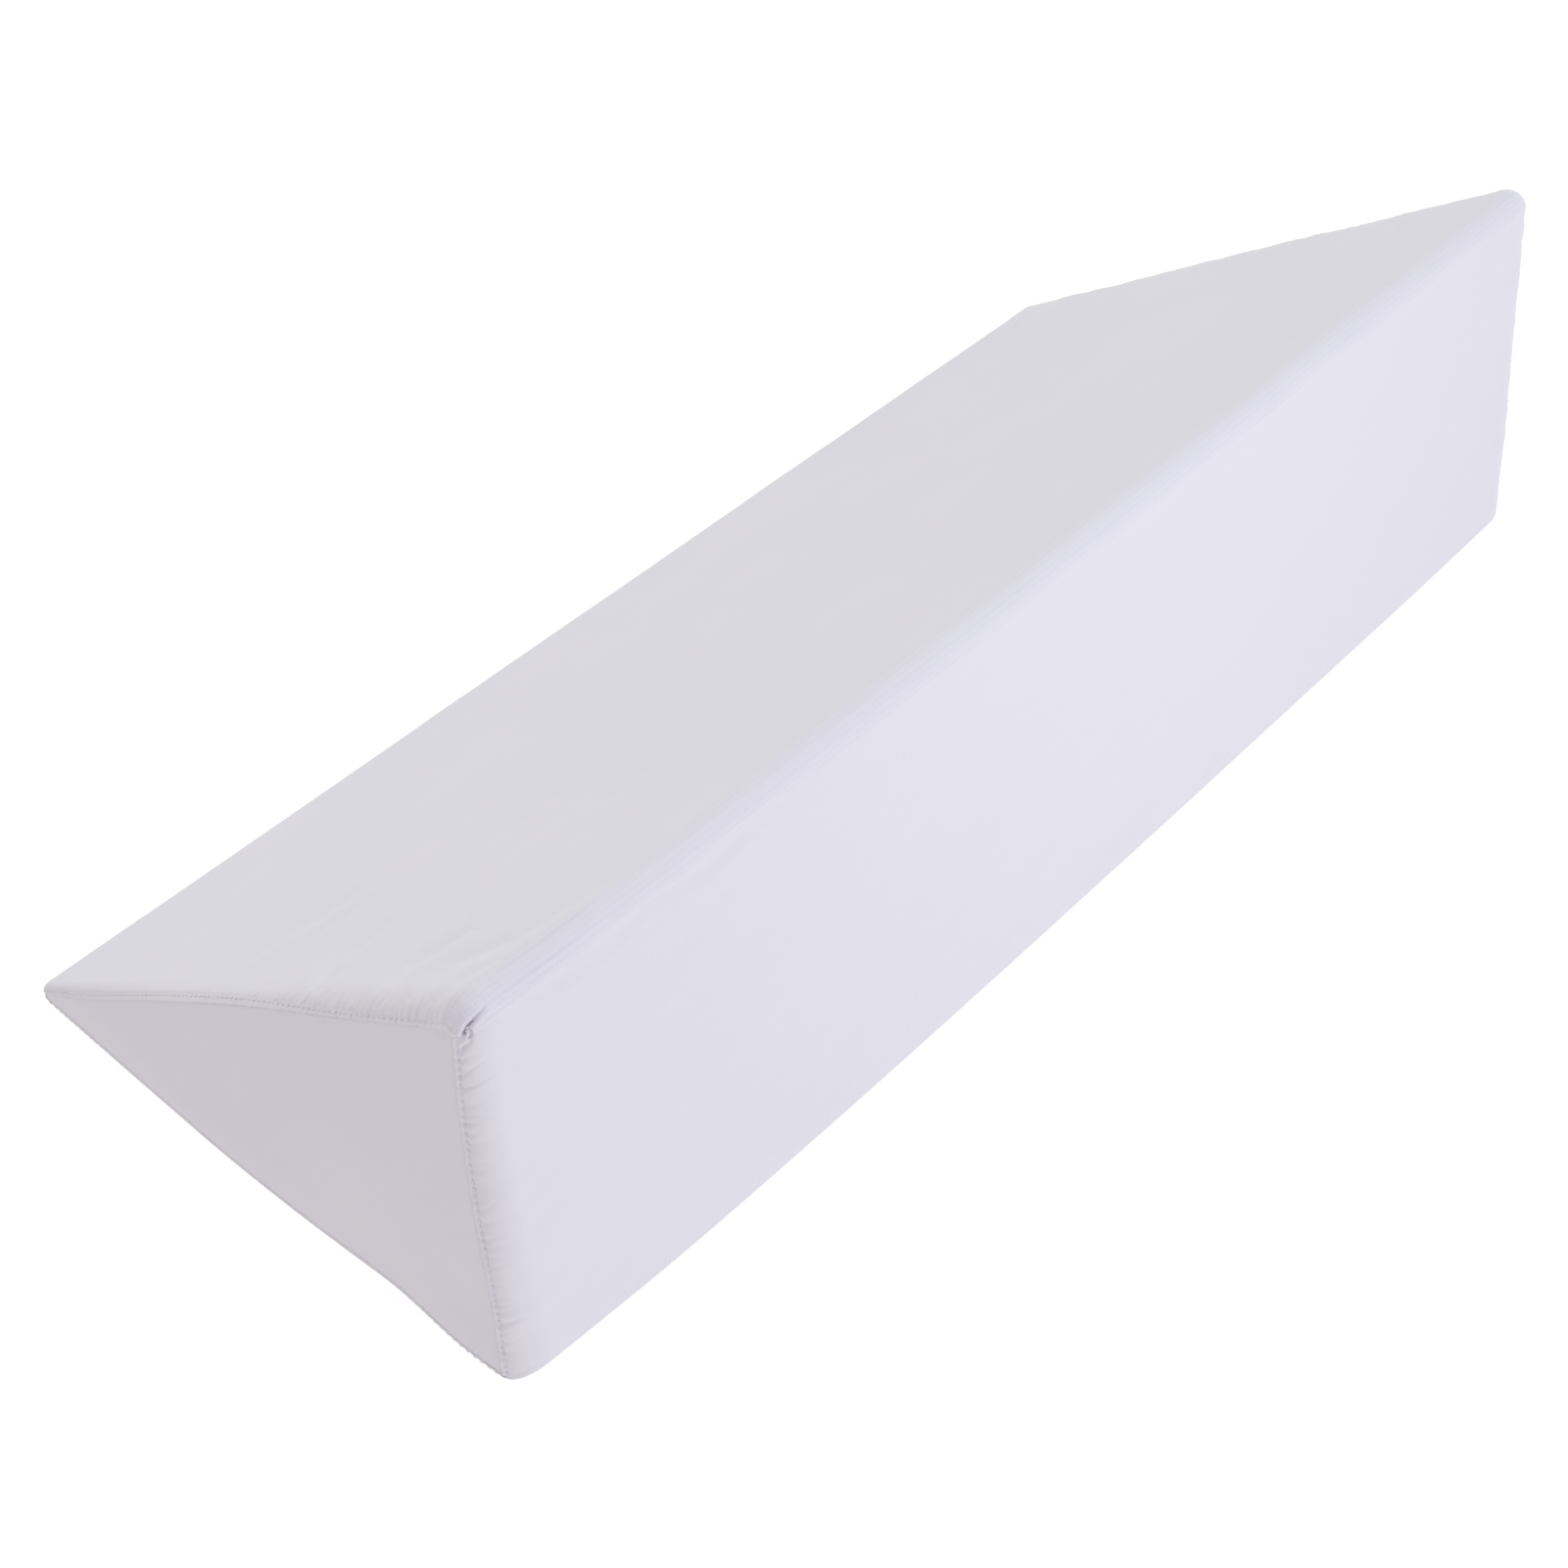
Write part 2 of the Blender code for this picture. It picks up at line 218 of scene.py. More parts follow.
def read(rows, places, what):
    """The table's values at these places, on a smooth curve through its rows."""
    knots = np.array([row[0] for row in rows])
    values = np.array([getattr(row, what) for row in rows])
    low = np.clip(np.searchsorted(knots, places, side="right") - 1, 0, len(rows) - 2)
    high = low + 1
    before, after = np.maximum(low - 1, 0), np.minimum(high + 1, len(rows) - 1)
    span = knots[high] - knots[low]
    share = np.clip((places - knots[low]) / span, 0, 1)
    leave = (values[high] - values[before]) / (knots[high] - knots[before]) * span
    arrive = (values[after] - values[low]) / (knots[after] - knots[low]) * span
    square, cube = share**2, share**3
    return (
        values[low] * (2 * cube - 3 * square + 1)
        + leave * (cube - 2 * square + share)
        + values[high] * (3 * square - 2 * cube)
        + arrive * (cube - square)
    )


def unit(vector):
    return np.asarray(vector) / np.linalg.norm(vector)


def inward(start, end):
    along = unit(np.subtract(end, start))
    return np.array([-along[1], along[0]])


FOOT = np.array([-DEPTH / 2 + FRONT_BOW, 0.0])
THIN = np.array([DEPTH / 2 - THIN_RADIUS + THIN_RADIUS / math.tan(SLOPE_ANGLE / 2), 0.0])
HEIGHT = (THIN[0] - FOOT[0] - RIDGE_LEAN) * math.tan(SLOPE_ANGLE)
RIDGE = np.array([FOOT[0] + RIDGE_LEAN, HEIGHT])
END_PLANE = LENGTH / 2 - max(row.push for row in BOTTOM_EDGE)
SLOPE_IN, FRONT_IN, BASE_IN = inward(THIN, RIDGE), inward(RIDGE, FOOT), inward(FOOT, THIN)

# Columns round the section: each run's side, where on it the run starts and ends, and its columns
Run = namedtuple("Run", "side start end steps")
RUNS = (
    Run("thin", 0.0, 1.0, 10),
    Run("slope", 0.0, 0.44, 66),
    Run("slope", 0.44, 0.90, 144),
    Run("slope", 0.90, 1.0, 54),
    Run("ridge", 0.0, 1.0, 28),
    Run("front", 0.0, 0.16, 42),
    Run("front", 0.16, 1.0, 132),
    Run("foot", 0.0, 1.0, 12),
    Run("base", 0.0, 1.0, 76),
)
SIDE = np.array([run.side for run in RUNS for _ in range(run.steps)])
PLACE = np.concatenate([np.linspace(run.start, run.end, run.steps, endpoint=False) for run in RUNS])
VISIBLE_SIDES = ("slope", "ridge", "front")
RIMS = {"slope": SLOPE_RIM, "front": FRONT_RIM, "base": BASE_RIM}
CORNER_RIMS = {
    "thin": (BASE_RIM, SLOPE_RIM),
    "ridge": (SLOPE_RIM, FRONT_RIM),
    "foot": (FRONT_RIM, BASE_RIM),
}


def rim(what):
    """The rim's inset, reach or turn at every column."""
    found = np.zeros(len(SIDE))
    for side, rows in RIMS.items():
        here = SIDE == side
        found[here] = read(rows, PLACE[here], what)
    for side, (before, after) in CORNER_RIMS.items():
        here = SIDE == side
        start, end = getattr(before[-1], what), getattr(after[0], what)
        found[here] = start + (end - start) * PLACE[here]
    return found


INSET, REACH, TURN = rim("inset"), rim("reach"), np.radians(rim("turn"))
SEAM_TILT = REACH * np.cos(TURN) * (1 - np.cos(TURN)) / (INSET * np.sin(TURN) ** 2)
# The seam's relief at every column: nearly flat along the slope, and full from the ridge down the front
SEAM_RELIEF = np.select(
    [SIDE == "thin", SIDE == "slope", SIDE == "base"],
    [
        SEAM_FLAT,
        SEAM_FLAT + (1 - SEAM_FLAT) * np.clip((PLACE - 0.80) / 0.20, 0, 1),
        SEAM_FLAT + (1 - SEAM_FLAT) * np.clip((1 - PLACE) / 0.20, 0, 1),
    ],
    1.0,
)


def meeting_point(start, end, other_start, other_end):
    run, other, apart = end - start, other_end - other_start, other_start - start
    along = (apart[0] * other[1] - apart[1] * other[0]) / (run[0] * other[1] - run[1] * other[0])
    return start + run * along


def sharp_corners(share, extra=0.0):
    """The section's thin, ridge and foot corners before they are rounded."""
    lines = [
        (start + inwards * (rows[0].inset * share + extra), end + inwards * (rows[-1].inset * share + extra))
        for start, end, inwards, rows in (
            (THIN, RIDGE, SLOPE_IN, SLOPE_RIM),
            (RIDGE, FOOT, FRONT_IN, FRONT_RIM),
            (FOOT, THIN, BASE_IN, BASE_RIM),
        )
    ]
    slope, front, base = lines
    return meeting_point(*slope, *base), meeting_point(*slope, *front), meeting_point(*front, *base)


def arc_points(corner, before, after, radius, places):
    """Points along the arc that rounds a corner."""
    back, on = unit(before - corner), unit(after - corner)
    half = math.acos(float(back @ on)) / 2
    centre = corner + unit(back + on) * radius / math.sin(half)
    reach = radius / math.tan(half)
    first, last = corner + back * reach - centre, corner + on * reach - centre
    start = math.atan2(first[1], first[0])
    turn = (math.atan2(last[1], last[0]) - start + math.pi) % (2 * math.pi) - math.pi
    angles = start + turn * np.asarray(places)
    return centre + radius * np.stack([np.cos(angles), np.sin(angles)], axis=-1)


def section(share, extra=0.0):
    """The section's points (y, z), drawn in by a share of the rim's inset and an extra distance."""
    thin, ridge, foot = sharp_corners(share, extra)
    shrink = 1 - 0.7 * share
    corners = {
        "thin": (thin, foot, ridge, max(THIN_RADIUS * shrink, LEAST_RADIUS) - extra),
        "ridge": (ridge, thin, foot, max(RIDGE_RADIUS * shrink, LEAST_RADIUS) - extra),
        "foot": (foot, ridge, thin, max(FOOT_RADIUS * shrink, LEAST_RADIUS) - extra),
    }
    sides = {
        "slope": ("thin", "ridge", SLOPE_IN),
        "front": ("ridge", "foot", FRONT_IN),
        "base": ("foot", "thin", BASE_IN),
    }
    points = np.zeros((len(SIDE), 2))
    for side, corner in corners.items():
        here = SIDE == side
        points[here] = arc_points(*corner, PLACE[here])
    for side, (first, last, inwards) in sides.items():
        here = SIDE == side
        start, end = arc_points(*corners[first], 1.0), arc_points(*corners[last], 0.0)
        rows, places = RIMS[side], PLACE[here][:, None]
        straight = rows[0].inset + (rows[-1].inset - rows[0].inset) * places
        points[here] = start + (end - start) * places + inwards * (INSET[here][:, None] - straight) * share
    return points


def front_share(y):
    return np.clip((THIN[0] - y) / (THIN[0] - FOOT[0]), 0, 1)


def shaped(x, yz, side, place):
    """Points of the straight wedge moved to where the filled, covered one lies."""
    y, z = yz[..., 0], yz[..., 1]
    along = np.clip(0.5 + x / LENGTH, 0, 1)
    height = np.clip(z / HEIGHT, 0, 1)
    bow = FRONT_BOW * read(STATIONS, along, "front")
    bow = bow * (1 - 0.65 * height + 0.35 * np.sin(math.pi * height)) * front_share(y) ** 3
    crown = SLOPE_CROWN * read(STATIONS, along, "slope") * np.sin(math.pi * place) * (side == "slope")
    near_ridge = np.exp(-(((HEIGHT - z) / (2.2 * RIDGE_RADIUS)) ** 2))
    sink = RIDGE_SINK * read(STATIONS, along, "ridge") * near_ridge * np.isin(side, VISIBLE_SIDES)
    lean = read(END_LEAN, height, "lean") * np.where(x < 0, 1.0, FAR_LEAN_SHARE)
    from_end = np.maximum(END_PLANE - np.abs(x), 0)
    edge = np.exp(-((from_end / BASE_EDGE_REACH) ** 2)) * np.exp(-((z / BASE_EDGE_REACH) ** 2))
    push = read(BOTTOM_EDGE, front_share(y), "push") * edge
    return np.stack(
        [
            x * (1 - lean / (LENGTH / 2)) + np.sign(x) * push,
            y - bow - SLOPE_IN[0] * crown,
            np.maximum(z - SLOPE_IN[1] * crown - sink, 0.0),
        ],
        axis=-1,
    )


def crown_at(yz):
    """How far an end panel crowns out: nothing along its three edges and all of END_CROWN in the middle."""
    thin, ridge, foot = sharp_corners(1.0)
    across = lambda a, b: a[..., 0] * b[..., 1] - a[..., 1] * b[..., 0]
    whole = across(ridge - thin, foot - thin)
    to_ridge = across(yz - thin, foot - thin) / whole
    to_foot = across(ridge - thin, yz - thin) / whole
    bubble = 27 * np.maximum(to_ridge, 0) * np.maximum(to_foot, 0) * np.maximum(1 - to_ridge - to_foot, 0)
    return END_CROWN * bubble


# ---------- picture ----------

EYE = np.array(CAMERA_EYE)
FORWARD = unit(CAMERA_FORWARD)
DOWN = unit(np.array(CAMERA_DOWN) - FORWARD * (np.array(CAMERA_DOWN) @ FORWARD))
RIGHT = np.cross(DOWN, FORWARD)
FOCAL = CAMERA_LENS / SENSOR * PICTURE


def in_picture(points):
    """Where points fall in the photograph, in picture units, and how many units a metre covers there."""
    seen = points - EYE
    away = seen @ FORWARD
    scale = FOCAL / away
    spots = np.stack([seen @ RIGHT * scale + PRINCIPAL[0], seen @ DOWN * scale + PRINCIPAL[1]], axis=-1)
    return spots, scale


def line_distance(spots, line):
    """Each spot's signed distance from a line of points, plus to the right of its way, and its place on it."""
    line = np.array(line, float)
    steps = np.linalg.norm(np.diff(line, axis=0), axis=1)
    marks = np.concatenate([[0], np.cumsum(steps)])
    best = np.full(len(spots), 1e9)
    signed, place = best.copy(), np.zeros(len(spots))
    for i, (start, end) in enumerate(zip(line, line[1:])):
        way = (end - start) / steps[i]
        from_start = spots - start
        along = from_start @ way
        capped = np.clip(along, 0, steps[i])
        offset = from_start - capped[:, None] * way
        distance = np.linalg.norm(offset, axis=1)
        nearer = distance < best
        best[nearer] = distance[nearer]
        side = np.where(way[0] * offset[:, 1] - way[1] * offset[:, 0] < 0, -1.0, 1.0)
        signed[nearer] = (distance * side)[nearer]
        place[nearer] = ((marks[i] + capped) / marks[-1])[nearer]
    return signed, place


def bell(values, width):
    return np.exp(-((values / width) ** 2))


# ---------- cloth relief ----------

# The gathers along an end seam, each between the least and the most of these
PUCKER_PITCH = (2.9 * MM, 5.2 * MM)
PUCKER_DEPTH = (0.30 * MM, 0.85 * MM)
PUCKER_REACH = (6.0 * MM, 13.0 * MM)
PUCKER_WIDTH = (0.70 * MM, 1.15 * MM)
PUCKER_SLANT = 0.16
PUCKER_LIMIT = 34 * MM


def ripples(x, v, seed, wavelength, stretch):
    """Smooth seeded ripples of about unit height over a surface, longer along x than across it."""
    rng = np.random.default_rng(seed)
    total = np.zeros_like(x)
    for _ in range(14):
        angle = rng.normal(0, 0.35)
        across = 2 * math.pi / (wavelength * rng.uniform(0.6, 1.6))
        along = across / stretch * rng.uniform(0.5, 1.5)
        phase = rng.uniform(0, 2 * math.pi)
        skew = math.sin(angle) * x * across * 0.3
        total += np.sin(across * (v * math.cos(angle)) + along * x + phase + skew)
    return total / 3.7


def puckers(round_seam, from_seam, whole, strength, seed):
    """The small gathers that run out from the stitches into the rim, in metres of depth."""
    rng = np.random.default_rng(seed)
    relief = np.zeros_like(from_seam)
    close = from_seam < PUCKER_LIMIT
    t, q = round_seam[close], from_seam[close]
    total = np.zeros_like(t)
    at = 0.0
    while at < whole:
        at += rng.uniform(*PUCKER_PITCH)
        depth, reach = rng.uniform(*PUCKER_DEPTH), rng.uniform(*PUCKER_REACH)
        width, slant = rng.uniform(*PUCKER_WIDTH), rng.normal(0, PUCKER_SLANT)
        apart = (t - at - slant * q + whole / 2) % whole - whole / 2
        total -= depth * bell(apart, width) * bell(q, reach)
    relief[close] = total * strength[close]
    return relief


def seam_strength(side, place):
    """How strongly the cover gathers at each place round an end seam."""
    slope = 0.15 + 0.85 * np.clip((place - 0.38) / 0.25, 0, 1)
    sides = [side == "slope", side == "ridge", side == "front", side == "foot"]
    return np.select(sides, [slope, 1.0, 1.0, 0.8], 0.35)


# ---------- the wrap panel ----------


def rim_rings():
    """Rings (x, points) at the near end, from inside the seam out over the rim to the straight part."""
    rings = []
    for point in reversed(SEAM_PROFILE):
        tilted = SEAM_TILT * max(-point.across, 0.0)
        out = point.out * SEAM_RELIEF if point not in SEAM_PROFILE[-SEAM_WALL:] else point.out
        rings.append((-END_PLANE + tilted - out, section(1.0, point.across)))
    edge = SEAM_PROFILE[0].across
    steps = 26
    for step in range(1, steps + 1):
        share = 1 - math.cos(math.pi / 2 * (1 - step / steps))
        left = np.arccos(1 - share * (1 - np.cos(TURN)))
        back = REACH * (1 - np.sin(left) / np.sin(TURN)) - SEAM_TILT * edge * share
        rings.append((-END_PLANE + back, section(share, edge * share)))
    return rings


NEAR_STEPS, NEAR_SPACING = 32, 1.3 * MM
MIDDLE_STEPS = 100


def wrap_grid():
    """Rings (x, points) of the straight wedge: those at the near end, in the middle and at the far end."""
    near = rim_rings()
    full = section(0.0)
    start = -END_PLANE + REACH
    for step in range(1, NEAR_STEPS + 1):
        near.append((start + step * NEAR_SPACING, full))
    fine_from = near[-1][0]
    far = [(-x, yz) for x, yz in reversed(near[: len(near) - NEAR_STEPS + 6])]
    fine_to = far[0][0]
    middle = []
    for step in range(1, MIDDLE_STEPS):
        middle.append((fine_from + (fine_to - fine_from) * step / MIDDLE_STEPS, full))
    return near, middle, far


def ring_points(ring):
    x, yz = ring
    return shaped(x, yz, SIDE, PLACE)


def relief_of(points, side, place, ends):
    """How far the cloth stands out of its smooth shape at these points, in metres."""
    x = points[:, 0]
    v = np.select([side == "slope", side == "front"], [place * 0.315, 0.33 + place * 0.16], place * 0.27 + 0.6)
    visible = np.isin(side, VISIBLE_SIDES)
    total = 0.10 * MM * ripples(x, v, 11, 0.050, 4.0) * visible
    total += 0.10 * MM * ripples(x, v, 12, 0.016, 5.0) * visible
    ridge_zone = np.select([side == "slope", side == "front"], [bell(1 - place, 0.16), bell(place, 0.30)], 1.0)
    ridge_zone *= visible
    total += 0.035 * MM * ripples(x, v, 13, 0.014, 7.0) * ridge_zone
    for seam in ends:
        total += seam
    spots, scale = in_picture(points)
    for crease in CREASES:
        offset, along = line_distance(spots, crease.line)
        offset = offset / scale
        taper = np.sin(math.pi * np.clip(along, 0.02, 0.98)) ** 0.5
        dent = bell(offset, crease.width) - 0.55 * bell(offset - 1.7 * crease.width, crease.width)
        total -= crease.depth * dent * taper * visible
    return total


def mesh_object(name, points, faces, material, spots, whole=None):
    mesh = bpy.data.meshes.new(name)
    mesh.from_pydata([tuple(point) for point in points], [], faces)
    lay_cloth(mesh, faces, spots, whole)
    mesh.update()
    mesh.shade_smooth()
    mesh.materials.append(material)
    obj = bpy.data.objects.new(name, mesh)
    bpy.context.collection.objects.link(obj)
    return obj


def face_out(obj):
    form = bmesh.new()
    form.from_mesh(obj.data)
    bmesh.ops.recalc_face_normals(form, faces=form.faces)
    form.to_mesh(obj.data)
    form.free()
    obj.data.shade_smooth()


def normals_of(mesh):
    found = np.zeros(len(mesh.vertices) * 3)
    mesh.vertices.foreach_get("normal", found)
    return found.reshape(-1, 3)


def lay_cloth(mesh, faces, spots, whole=None):
    """Gives every face corner its place on the flat cloth in metres, carried on where a loop closes."""
    layer = mesh.uv_layers.new(name="cloth")
    flat = np.array([spots[i] for face in faces for i in face], dtype=float)
    if whole:
        at = 0
        for face in faces:
            part = flat[at : at + len(face), 1]
            if part.max() - part.min() > whole / 2:
                part[part < whole / 2] += whole
            at += len(face)
    layer.data.foreach_set("uv", flat.astype(np.float32).ravel())


def points_of(mesh):
    found = np.zeros(len(mesh.vertices) * 3)
    mesh.vertices.foreach_get("co", found)
    return found.reshape(-1, 3)


def put_points(mesh, points):
    mesh.vertices.foreach_set("co", np.asarray(points, dtype=np.float32).ravel())
    mesh.update()


def joined(low, high, faces):
    """Quads between two rings of one size, or triangles where one has half the other's columns."""
    count = len(low)
    if len(high) == count:
        for i in range(count):
            k = (i + 1) % count
            faces.append((low[i], low[k], high[k], high[i]))
        return
    flip = len(high) > count
    fine, coarse = (high, low) if flip else (low, high)
    for j in range(len(coarse)):
        k = (j + 1) % len(coarse)
        a, b, c = fine[2 * j], fine[2 * j + 1], fine[(2 * j + 2) % len(fine)]
        for face in ((a, b, coarse[j]), (b, c, coarse[k]), (b, coarse[k], coarse[j])):
            faces.append(face[::-1] if flip else face)


def make_wrap(material):
    """The wrap panel as one closed form: rim, slope, front and base, with a turned seam edge at each end."""
    near, middle, far = wrap_grid()
    every, half = np.arange(len(SIDE)), np.arange(0, len(SIDE), 2)
    plan = [(ring, kept) for part, kept in ((near, every), (middle, half), (far, every)) for ring in part]
    grid = [(ring_points(ring), kept) for ring, kept in plan]
    full_grid = np.stack([points for points, _ in grid])
    steps = np.linalg.norm(np.diff(full_grid, axis=0), axis=2)
    from_near = np.concatenate([np.zeros((1, len(SIDE))), np.cumsum(steps, axis=0)])
    from_far = from_near[-1] - from_near
    loop = full_grid[0]
    spans = np.linalg.norm(np.roll(loop, -1, axis=0) - loop, axis=1)
    round_seam, whole = np.concatenate([[0], np.cumsum(spans)[:-1]]), spans.sum()

    points, rings, index = [], [], []
    for row, (ring, kept) in enumerate(grid):
        rings.append([len(points) + i for i in range(len(kept))])
        points.extend(ring[kept])
        index.extend((row, column) for column in kept)
    faces = []
    for low, high in zip(rings, rings[1:]):
        joined(low, high, faces)
    for end, ring in ((-1.0, rings[0]), (1.0, rings[-1])):
        for toward in BACKING_SHARES:
            backing = end_ring(end, BACKING_ACROSS, BACKING_OUT, toward)
            inner = [len(points) + i for i in range(len(SIDE))]
            points.extend(backing)
            index.extend((0 if end < 0 else len(grid) - 1, column) for column in range(len(SIDE)))
            joined(ring, inner, faces)
            ring = inner
        points.append(backing.mean(axis=0))
        index.append((0, 0))
        for i in range(len(inner)):
            faces.append((inner[i], inner[(i + 1) % len(inner)], len(points) - 1))
    points, index = np.array(points), np.array(index)
    row, column = index.T
    spots = np.stack([from_near[row, column], round_seam[column]], axis=1)
    obj = mesh_object("cover_wrap", points, faces, material, spots, whole)
    face_out(obj)
    side, place = SIDE[column], PLACE[column]
    inner = len(SIDE) * 2 * len(BACKING_SHARES) + 2
    strength = seam_strength(side, place)
    ends = [
        puckers(round_seam[column], q[row, column], whole, strength, seed)
        for q, seed in ((from_near, 21), (from_far, 22))
    ]
    total = relief_of(points, side, place, ends)
    from_edge = np.minimum(row, len(grid) - 1 - row)
    total[from_edge < len(SEAM_PROFILE) - 1] *= 0.5
    total[from_edge < SEAM_WALL + 1] = 0
    total[-inner:] = 0
    total *= np.where(side == "base", 0.0, 1.0)
    put_points(obj.data, points + normals_of(obj.data) * total[:, None])
    return obj


def carve_tuck(obj):
    """Refines the cover round the near top corner and folds the tuck into it."""
    form = bmesh.new()
    form.from_mesh(obj.data)
    centre = np.array([481.0, 1048.0])
    for reach in (46.0, 30.0):
        form.verts.ensure_lookup_table()
        spots, _ = in_picture(np.array([vert.co[:] for vert in form.verts]))
        facing = np.array([vert.normal[:] for vert in form.verts]) @ FORWARD < 0.1
        near = (np.linalg.norm(spots - centre, axis=1) < reach) & facing
        edges = [edge for edge in form.edges if near[edge.verts[0].index] and near[edge.verts[1].index]]
        bmesh.ops.subdivide_edges(form, edges=edges, cuts=1, use_grid_fill=True)
    form.normal_update()
    form.to_mesh(obj.data)
    form.free()
    obj.data.shade_smooth()

    points, normals = points_of(obj.data), normals_of(obj.data)
    spots, scale = in_picture(points)
    close = (np.linalg.norm(spots - centre, axis=1) < 60) & (normals @ FORWARD < 0.1)
    spots, scale = spots[close], scale[close]
    fold, along = line_distance(spots, TUCK_FOLD)
    fold = fold / scale
    open_share = np.clip(np.minimum(along / 0.12, (1 - along) / 0.55), 0, 1)
    raised = np.where(fold < 0, bell(fold, 7.0 * MM), bell(fold, 0.5 * MM))
    total = 1.0 * MM * raised * open_share
    total -= 2.3 * MM * bell(fold - 0.35 * MM, 0.55 * MM) * open_share
    total += 0.50 * MM * bell(fold - 1.9 * MM, 0.8 * MM) * open_share
    loop, along = line_distance(spots, TUCK_LOOP)
    total -= 1.3 * MM * bell(loop / scale, 0.50 * MM) * np.clip(np.minimum(along, 1 - along) / 0.15, 0, 1)
    under, along = line_distance(spots, TUCK_UNDER)
    total -= 0.7 * MM * bell(under / scale, 0.6 * MM) * np.clip(np.minimum(along, 1 - along) / 0.2, 0, 1)
    points[close] += normals[close] * total[:, None]
    put_points(obj.data, points)


# ---------- end panels and stitches ----------

PANEL_RINGS = 46


def end_ring(end, extra, out, toward=0.0):
    """A ring of points on an end, a distance out of its plane and a share of the way to its middle."""
    edge = section(1.0, extra)
    middle = np.mean(sharp_corners(1.0), axis=0)
    yz = edge + (middle - edge) * toward
    x = end * (END_PLANE - SEAM_TILT * max(-extra, 0.0))
    points = shaped(x, yz, SIDE, PLACE)
    lift = crown_at(yz) + out
    points[:, 0] += end * lift
    return points


def make_panel(name, end, material):
    """A triangular end panel, one cloth thick, with its edge under the wrap panel's folded edge."""
    kept = np.arange(len(SIDE))
    rings, points, faces = [], [], []
    fronts = [(ring / PANEL_RINGS) ** 1.15 for ring in range(PANEL_RINGS)]
    for toward in fronts:
        rings.append(end_ring(end, PANEL_EDGE_ACROSS, PANEL_EDGE_OUT * (1 - toward) ** 8, toward)[kept])
    back = PANEL_EDGE_OUT - PANEL_THICKNESS
    backs = [end_ring(end, PANEL_EDGE_ACROSS, back, toward)[kept] for toward in reversed(BACKING_SHARES)]
    order = backs + rings
    numbers = []
    for ring in order:
        numbers.append([len(points) + i for i in range(len(ring))])
        points.extend(ring)
    for low, high in zip(numbers, numbers[1:]):
        joined(low, high, faces)
    for ring in (numbers[0], numbers[-1]):
        points.append(np.mean([points[i] for i in ring], axis=0))
        for i in range(len(ring)):
            faces.append((ring[i], ring[(i + 1) % len(ring)], len(points) - 1))
    obj = mesh_object(name, points, faces, material, np.array(points)[:, 1:])
    face_out(obj)
    points = points_of(obj.data)
    y, z = points[:, 1], points[:, 2]
    total = 0.10 * MM * ripples(y, z, 31 if end < 0 else 32, 0.045, 2.0)
    total += 0.03 * MM * ripples(z, y, 33 if end < 0 else 34, 0.014, 3.0)
    front = np.repeat([0.0] * len(backs) + [min(toward / 0.05, 1.0) for toward in fronts], len(kept))
    front = np.concatenate([front, [0.0, 1.0]])
    normals = normals_of(obj.data)
    put_points(obj.data, points + normals * (total * front)[:, None])
    return obj


def even_spots(loop, pitch):
    """Points at an even pitch round a closed loop, with the loop's direction at each."""
    closed = np.vstack([loop, loop[:1]])
    marks = np.concatenate([[0], np.cumsum(np.linalg.norm(np.diff(closed, axis=0), axis=1))])
    count = int(marks[-1] / pitch)
    at = (np.arange(count) + 0.5) * marks[-1] / count
    spot = lambda to: np.stack([np.interp(to % marks[-1], marks, closed[:, k]) for k in range(3)], axis=1)
    ahead = spot(at + 0.4 * MM) - spot(at - 0.4 * MM)
    return spot(at), ahead / np.linalg.norm(ahead, axis=1)[:, None]


def make_stitches(name, end, material):
    """The row of stitches in the seam's groove, each a short length of thread that dips in at both ends."""
    depth = np.interp(STITCH_ACROSS, [p.across for p in SEAM_PROFILE], [p.out for p in SEAM_PROFILE])
    depth = depth * SEAM_RELIEF
    groove = end_ring(end, STITCH_ACROSS, depth + 0.6 * STITCH_RADIUS)
    spots, ways = even_spots(groove, STITCH_PITCH)
    out = np.array([end, 0.0, 0.0])
    points, faces, places = [], [], []
    stations, around = 7, 8
    for spot, way in zip(spots, ways):
        across = unit(np.cross(way, out))
        up = np.cross(across, way)
        first = len(points)
        for k in range(stations):
            share = k / (stations - 1) * 2 - 1
            radius = STITCH_RADIUS * math.sqrt(max(1 - share**4, 0.04))
            middle = spot + way * share * STITCH_LENGTH / 2 - out * STITCH_RADIUS * 1.5 * share**4
            for a in range(around):
                angle = 2 * math.pi * a / around
                points.append(middle + radius * (across * math.cos(angle) + up * math.sin(angle)))
                places.append((share * STITCH_LENGTH / 2, radius * math.sin(angle)))
        for k in range(stations - 1):
            for a in range(around):
                b = (a + 1) % around
                low, high = first + k * around, first + (k + 1) * around
                faces.append((low + a, low + b, high + b, high + a))
        faces.append(tuple(first + a for a in reversed(range(around))))
        faces.append(tuple(first + (stations - 1) * around + a for a in range(around)))
    obj = mesh_object(name, points, faces, material, places)
    face_out(obj)
    return obj


# ---------- materials ----------


def link(tree, start, socket, end, into):
    tree.links.new(start.outputs[socket], end.inputs[into])


def new_node(tree, kind, **values):
    node = tree.nodes.new(kind)
    for key, value in values.items():
        if hasattr(node, key):
            setattr(node, key, value)
        else:
            node.inputs[key.replace("_", " ")].default_value = value
    return node


